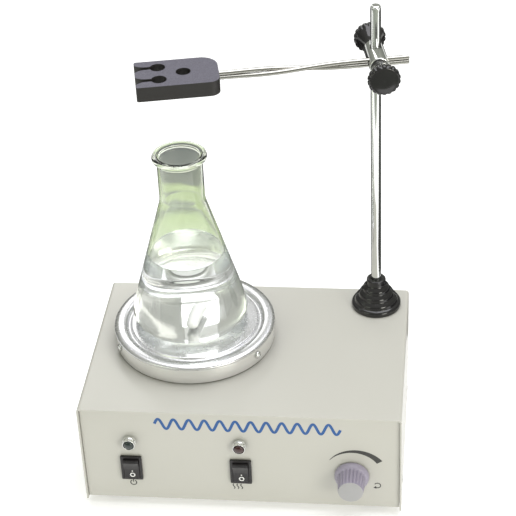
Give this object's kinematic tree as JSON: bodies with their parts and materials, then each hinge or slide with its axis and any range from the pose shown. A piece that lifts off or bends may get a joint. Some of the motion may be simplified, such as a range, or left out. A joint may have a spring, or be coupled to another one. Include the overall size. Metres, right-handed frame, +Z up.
{
  "type": "magnetic stirrer with hot plate and conical flask",
  "caption": "Heated magnetic stirrer with a conical flask of clear liquid on its hot plate, a support rod, a cross clamp and a probe holder arm.",
  "frame": {"origin": "on the floor, below the centre of the whole apparatus' bounding box", "axes": "+Z up along the support rod, +X to the right along the front panel, +Y from the front panel towards the back"},
  "size_m": [0.2318, 0.1833, 0.341],
  "materials": {
    "housing_paint": "satin",
    "cast_aluminium": "satin",
    "chrome": "polished",
    "steel": "satin",
    "gloss_black": "gloss",
    "matte_black": "matte",
    "rubber": "matte",
    "knob_grey": "satin",
    "lens_green": "gloss",
    "lens_red": "gloss",
    "magnet": "matte",
    "board_green": "satin",
    "mica": "matte",
    "ceramic_fibre": "matte",
    "flask_glass": "polished",
    "water": "gloss",
    "ptfe": "satin"
  },
  "bodies": {
    "root": {"top_cover": "housing_paint", "base_tray": "housing_paint", "rubber_foot_1": "rubber", "rubber_foot_2": "rubber", "rubber_foot_3": "rubber", "rubber_foot_4": "rubber", "cover_screw_1": "chrome", "cover_screw_2": "chrome", "cover_screw_3": "chrome", "cover_screw_4": "chrome", "skirt_screw_1": "chrome", "skirt_screw_2": "chrome", "skirt_screw_3": "chrome", "power_lamp_bezel": "chrome", "heat_lamp_bezel": "chrome", "hot_plate": "cast_aluminium", "plate_skirt": "cast_aluminium", "heater_element": "mica", "insulation_pad": "ceramic_fibre", "plate_standoff_1": "steel", "plate_standoff_2": "steel", "plate_standoff_3": "steel", "motor_bracket": "steel", "drive_motor": "steel", "potentiometer": "steel", "rod_nut": "steel", "transformer": "steel", "power_switch_housing": "gloss_black", "heat_switch_housing": "gloss_black", "rod_base": "gloss_black", "power_lamp_lens": "lens_green", "heat_lamp_lens": "lens_red", "power_inlet": "matte_black", "fuse_holder": "matte_black", "circuit_board": "board_green", "inlet_pin_live": "steel", "inlet_pin_neutral": "steel", "inlet_pin_earth": "steel"},
    "drive": {"motor_shaft": "steel", "magnet_carrier": "matte_black", "drive_magnet_1": "magnet", "drive_magnet_2": "magnet"},
    "speed_control": {"speed_knob": "knob_grey", "pot_shaft": "steel"},
    "power_button": {"power_rocker": "gloss_black"},
    "heat_button": {"heat_rocker": "gloss_black"},
    "fuse_plug": {"fuse_cap": "matte_black"},
    "rod": {"support_rod": "chrome"},
    "boss": {"boss_body": "chrome"},
    "arm": {"arm_wire_1": "chrome", "arm_wire_2": "chrome", "probe_holder": "matte_black"},
    "front_clamp": {"front_clamp_screw": "chrome"},
    "front_knob": {"front_clamp_knob": "gloss_black"},
    "rear_clamp": {"rear_clamp_screw": "chrome"},
    "rear_knob": {"rear_clamp_knob": "gloss_black"},
    "flask_body": {"flask": "flask_glass", "liquid": "water"},
    "stirrer": {"stir_bar": "ptfe"}
  },
  "joints": [
    {"name": "flask_lift", "type": "slide", "parent": "root", "child": "flask_body", "axis": [0, -0.9397, 0.342], "range_m": [0, 0.2]},
    {"name": "drive_spin", "type": "hinge", "parent": "root", "child": "drive", "pos_m": [-0.041, 0.0162, 0.0955], "axis": [0, 0, 1], "continuous": true},
    {"name": "stir_spin", "type": "hinge", "parent": "flask_body", "child": "stirrer", "pos_m": [-0.041, 0.0162, 0.1129], "axis": [0, 0, 1], "continuous": true},
    {"name": "speed_turn", "type": "hinge", "parent": "root", "child": "speed_control", "pos_m": [0.0797, -0.0718, 0.0366], "axis": [0, 1, 0], "range_deg": [0, 270]},
    {"name": "power_rock", "type": "hinge", "parent": "root", "child": "power_button", "pos_m": [-0.0794, -0.0731, 0.037], "axis": [-1, 0, 0], "range_deg": [0, 20]},
    {"name": "heat_rock", "type": "hinge", "parent": "root", "child": "heat_button", "pos_m": [0, -0.0731, 0.037], "axis": [-1, 0, 0], "range_deg": [0, 20]},
    {"name": "fuse_turn", "type": "hinge", "parent": "root", "child": "fuse_plug", "pos_m": [-0.03, 0.0792, 0.034], "axis": [0, 1, 0], "range_deg": [0, 90]},
    {"name": "arm_swing", "type": "hinge", "parent": "root", "child": "rod", "pos_m": [0.0909, 0.0621, 0.2], "axis": [0, 0, 1], "continuous": true},
    {"name": "boss_height", "type": "slide", "parent": "rod", "child": "boss", "axis": [0, 0, 1], "range_m": [-0.025, 0.028]},
    {"name": "arm_reach", "type": "slide", "parent": "boss", "child": "arm", "axis": [0.9789, 0.2045, 0], "range_m": [-0.012, 0.09]},
    {"name": "front_clamp_travel", "type": "slide", "parent": "boss", "child": "front_clamp", "axis": [0.2045, -0.9789, 0], "range_m": [0, 0.0026]},
    {"name": "front_clamp_turn", "type": "hinge", "parent": "front_clamp", "child": "front_knob", "pos_m": [0.09294, 0.05231, 0.303], "axis": [0.2045, -0.9789, 0], "range_deg": [0, 720]},
    {"name": "rear_clamp_travel", "type": "slide", "parent": "boss", "child": "rear_clamp", "axis": [-0.2045, 0.9789, 0], "range_m": [0, 0.0026]},
    {"name": "rear_clamp_turn", "type": "hinge", "parent": "rear_clamp", "child": "rear_knob", "pos_m": [0.09294, 0.05231, 0.303], "axis": [-0.2045, 0.9789, 0], "range_deg": [0, 720]}
  ],
  "couplings": [
    {"joint": "stir_spin", "follows": "drive_spin", "ratio": 1},
    {"joint": "front_clamp_travel", "follows": "front_clamp_turn", "m_per_rad": 0.000199},
    {"joint": "rear_clamp_travel", "follows": "rear_clamp_turn", "m_per_rad": 0.000199}
  ]
}
